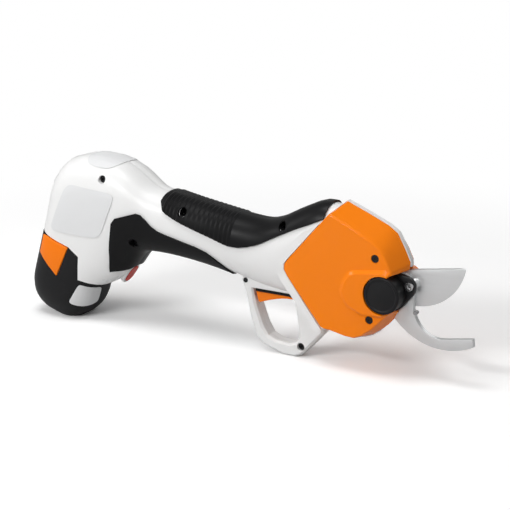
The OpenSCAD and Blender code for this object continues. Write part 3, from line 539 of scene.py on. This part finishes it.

# %% [markdown]
# One more pair of screws closes the guard where it meets the handle. A real thread would not be
# seen, so each is only a head. Their black is partly painted shade: it stands also for the dark
# hole each head sits in. It starts as a cylinder that is turned to face the side. Its outer face
# is inset and pushed in for the driver, and its rim is beveled.

# %% Guard root screws
head_radius, head_height = 1.9 * mm, 1.6 * mm
screw_x, screw_y, screw_z = 5.2 * mm, 6.3 * mm, 51.6 * mm
driver_inset, driver_depth = 0.8 * mm, 0.2 * mm
screw_rim = 0.15 * mm
facing_outwards = 0.9
smooth_below = math.radians(35)


def select_faces(piece, wanted):
    bpy.ops.object.mode_set(mode="EDIT")
    bpy.ops.mesh.select_all(action="DESELECT")
    bpy.ops.object.mode_set(mode="OBJECT")
    for face in piece.data.polygons:
        face.select = wanted(face)
    bpy.ops.object.mode_set(mode="EDIT")


for side, way in sides:
    bpy.ops.object.select_all(action="DESELECT")
    bpy.ops.mesh.primitive_cylinder_add(vertices=36, radius=head_radius, depth=head_height)
    screw = bpy.context.object
    screw.name = "guard_root_screw_" + side
    screw.rotation_euler = (math.radians(90), 0, 0)
    screw.location = (screw_x, way * screw_y, screw_z)
    bpy.ops.object.transform_apply(location=True, rotation=True, scale=True)
    select_faces(screw, lambda face: face.normal.y * way > facing_outwards)
    bpy.ops.mesh.inset(thickness=driver_inset)
    bpy.ops.mesh.extrude_region_move(
        TRANSFORM_OT_translate={"value": (0, -way * driver_depth, 0)})
    bpy.ops.object.mode_set(mode="OBJECT")
    apply_bevel(screw, "rim", screw_rim, 2)
    bpy.ops.object.shade_smooth_by_angle(angle=smooth_below)
    # The black finish also paints the shade of the hole round the head.
    screw.data.materials.append(by_slot["black_metal"])
    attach(screw, "handle")
    print(screw.name, len(screw.data.polygons), "faces")

# %% [markdown]
# A short pin of darker steel sits at the root of the hook, where a small notch lies in shade, and
# its dark steel is painted shade for that notch. It could be drawn as part of the hook, but it is
# a piece of its own. It starts as a cylinder that is turned to lie through the hook, and its rims
# are beveled.

# %% Dark pin painted as shade at the hook's root
pin_radius, pin_length, pin_rim = 1.5 * mm, 4.0 * mm, 0.2 * mm
pin_place = (138.9 * mm, -2.7 * mm, 48.2 * mm)
bpy.ops.object.select_all(action="DESELECT")
bpy.ops.mesh.primitive_cylinder_add(vertices=32, radius=pin_radius, depth=pin_length)
pin = bpy.context.object
pin.name = "hook_shade_pin"
pin.rotation_euler = (math.radians(90), 0, 0)
pin.location = pin_place
bpy.ops.object.transform_apply(location=True, rotation=True, scale=True)
apply_bevel(pin, "rim", pin_rim, 2)
bpy.ops.object.shade_smooth_by_angle(angle=smooth_below)
# The darker steel paints the shade of the notch at the hook's root.
pin.data.materials.append(by_slot["gear_steel"])
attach(pin, body_of["counter_blade"])
print(pin.name, len(pin.data.polygons), "faces")

# %% [markdown]
# A black strip on each side, under the housing's lower edge, is painted shade: it stands for the
# shadowed gap between the housing and the trigger. Each starts as a box under the housing's lower
# edge. Its far end is extruded downwards to follow the corner of the finger loop, and its edges
# are beveled. A swept curve would do as well, but three stations are all that the strip needs.

# %% Black strips painted as shade above the trigger
strip_front, strip_bend, strip_end = 13.0 * mm, 40.5 * mm, 45.6 * mm
strip_y, strip_z = 5.5 * mm, 45.5 * mm
strip_thickness, strip_height = 1.5 * mm, 2.2 * mm
strip_drop, strip_rounding = 1.3 * mm, 0.4 * mm
for side, way in sides:
    bpy.ops.object.select_all(action="DESELECT")
    bpy.ops.mesh.primitive_cube_add(
        size=1, location=((strip_front + strip_bend) / 2, way * strip_y, strip_z))
    shade_strip = bpy.context.object
    shade_strip.name = "trigger_gap_shade_" + side
    shade_strip.scale = (strip_bend - strip_front, strip_thickness, strip_height)
    bpy.ops.object.transform_apply(location=True, rotation=True, scale=True)
    select_faces(shade_strip, lambda face: face.normal.x > facing_outwards)
    bpy.ops.mesh.extrude_region_move(
        TRANSFORM_OT_translate={"value": (strip_end - strip_bend, 0, -strip_drop)})
    bpy.ops.object.mode_set(mode="OBJECT")
    apply_bevel(shade_strip, "soft edges", strip_rounding, 3)
    bpy.ops.object.shade_smooth_by_angle(angle=smooth_below)
    # The black finish paints the shade of the gap above the trigger.
    shade_strip.data.materials.append(by_slot["soft_grip"])
    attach(shade_strip, "handle")
    print(shade_strip.name, len(shade_strip.data.polygons), "faces")

# %% [markdown]
# The return springs of the trigger and the latches shorten when their piece is pressed. Here
# each spring only gets a smooth skin with a mesh of its own, and a rigid copy would stand through
# the trigger when it is pressed. A row gives the spring, its joint, the way it shortens, its
# fixed end and the share that is left; only the spring's name is read here.

# %% Skins of the springs
springs = [
    ("trigger_spring", "trigger_pull", (0, 0, 1), (0.024, 0, 0.05846), 0.42),
    ("latch_spring_right", "latch_right_press", (0, 1, 0), (-0.157, -0.01934, 0.0575), 0.13),
    ("latch_spring_left", "latch_left_press", (0, 1, 0), (-0.157, 0.01934, 0.0575), 0.13),
]
for name, joint, axis, fixed_end, keep in springs:
    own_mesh(smooth_skin(name, 40))
    print(name, "shortens with", joint)

# %% [markdown]
# The tool stands on pale paper that keeps its shadow. A plain white plane would show a horizon,
# so the paper fades to plain white light away from the tool, for the camera alone. To other rays
# it is darker paper, which keeps the undersides of the tool from going flat.

# %% Floor
floor_size = 6
floor_whiteness, floor_bounce = 1.12, 0.62
fade_from, fade_to = 0.2, 0.55
bpy.ops.object.select_all(action="DESELECT")
bpy.ops.mesh.primitive_plane_add(size=floor_size, location=(0, 0, 0))
floor = bpy.context.object
floor.name = "floor"
floor_paper = bpy.data.materials.new("floor paper")
floor_paper.use_nodes = True
tree = floor_paper.node_tree
sight = tree.nodes.new("ShaderNodeLightPath")
paper = tree.nodes.new("ShaderNodeBsdfDiffuse")
paper_tone = tree.nodes.new("ShaderNodeMix")
paper_tone.data_type = "RGBA"
paper_tone.inputs["A"].default_value = (floor_bounce, floor_bounce, floor_bounce, 1)
paper_tone.inputs["B"].default_value = (floor_whiteness, floor_whiteness, floor_whiteness, 1)
tree.links.new(sight.outputs["Is Camera Ray"], paper_tone.inputs["Factor"])
tree.links.new(paper_tone.outputs["Result"], paper.inputs["Color"])
white_light = node(tree, "ShaderNodeEmission", Strength=1.0)
place = tree.nodes.new("ShaderNodeTexCoord")
reach = tree.nodes.new("ShaderNodeVectorMath")
reach.operation = "LENGTH"
tree.links.new(place.outputs["Object"], reach.inputs[0])
fade = node(tree, "ShaderNodeMapRange", From_Min=fade_from, From_Max=fade_to)
fade.interpolation_type = "SMOOTHSTEP"
tree.links.new(reach.outputs["Value"], fade.inputs["Value"])
share = tree.nodes.new("ShaderNodeMath")
share.operation = "MULTIPLY"
tree.links.new(fade.outputs["Result"], share.inputs[0])
tree.links.new(sight.outputs["Is Camera Ray"], share.inputs[1])
blend = tree.nodes.new("ShaderNodeMixShader")
tree.links.new(share.outputs["Value"], blend.inputs["Fac"])
tree.links.new(paper.outputs["BSDF"], blend.inputs[1])
tree.links.new(white_light.outputs["Emission"], blend.inputs[2])
tree.links.new(blend.outputs["Shader"], tree.nodes["Material Output"].inputs["Surface"])
floor.data.materials.append(floor_paper)
print("floor", floor_size, "m wide, white from", fade_to, "m")

# %% [markdown]
# A white room surrounds the tool, and to the camera it is plain white. Plain white in reflections
# would put a grey veil on everything black. So reflections show the room darker, and darkest at
# the back: black grips stay black on top and the edges of the shells stand out.

# %% Surround
surround_level = 0.3
front_to_back = (-0.3, 0.3)
front_level, back_level = 0.5, 0.3
world = bpy.data.worlds.new("studio")
bpy.context.scene.world = world
world.use_nodes = True
tree = world.node_tree
surround = tree.nodes["Background"]
surround.inputs["Color"].default_value = (1, 1, 1, 1)
path = tree.nodes.new("ShaderNodeLightPath")
direction = tree.nodes.new("ShaderNodeTexCoord")
axes = tree.nodes.new("ShaderNodeSeparateXYZ")
tree.links.new(direction.outputs["Generated"], axes.inputs["Vector"])
mirrored = ramp(tree, axes.outputs["Y"], *front_to_back, front_level, back_level)
reflected = node(tree, "ShaderNodeMix", A=surround_level)
tree.links.new(path.outputs["Is Glossy Ray"], reflected.inputs["Factor"])
tree.links.new(mirrored, reflected.inputs["B"])
straight = tree.nodes.new("ShaderNodeMath")
straight.operation = "MAXIMUM"
tree.links.new(path.outputs["Is Camera Ray"], straight.inputs[0])
tree.links.new(path.outputs["Is Transmission Ray"], straight.inputs[1])
seen = node(tree, "ShaderNodeMix", B=1.0)
tree.links.new(straight.outputs["Value"], seen.inputs["Factor"])
tree.links.new(reflected.outputs["Result"], seen.inputs["A"])
tree.links.new(seen.outputs["Result"], surround.inputs["Strength"])
print("surround", surround_level, "in reflections", back_level, "to", front_level)

# %% [markdown]
# Four soft lamps light the tool as in a studio: one above, one at the side, a strip in front that
# draws bright lines along rounded edges, and a weak one behind. Area lamps are used because small
# lamps would throw hard shadows. All of them point at the middle of the tool.

# %% Lamps
lamp_target = Vector((0, 0, 0.06))


def soft_lamp(name, place, width, height, power):
    lamp_data = bpy.data.lights.new(name, "AREA")
    lamp_data.shape = "RECTANGLE"
    lamp_data.size = width
    lamp_data.size_y = height
    lamp_data.energy = power
    lamp = bpy.data.objects.new(name, lamp_data)
    lamp.location = place
    lamp.rotation_euler = (lamp_target - lamp.location).to_track_quat("-Z", "Y").to_euler()
    bpy.context.scene.collection.objects.link(lamp)
    print(name, power, "W")


soft_lamp("overhead lamp", (-0.1, -0.25, 1.1), width=0.5, height=0.5, power=5.0)
soft_lamp("edge lamp", (-1.0, -0.5, 0.7), width=0.35, height=0.35, power=1.6)
soft_lamp("front strip", (-0.3, -1.21, 0.81), width=0.65, height=0.14, power=8.8)
soft_lamp("back fill", (0.2, 1.2, 0.7), width=0.8, height=0.8, power=2.2)
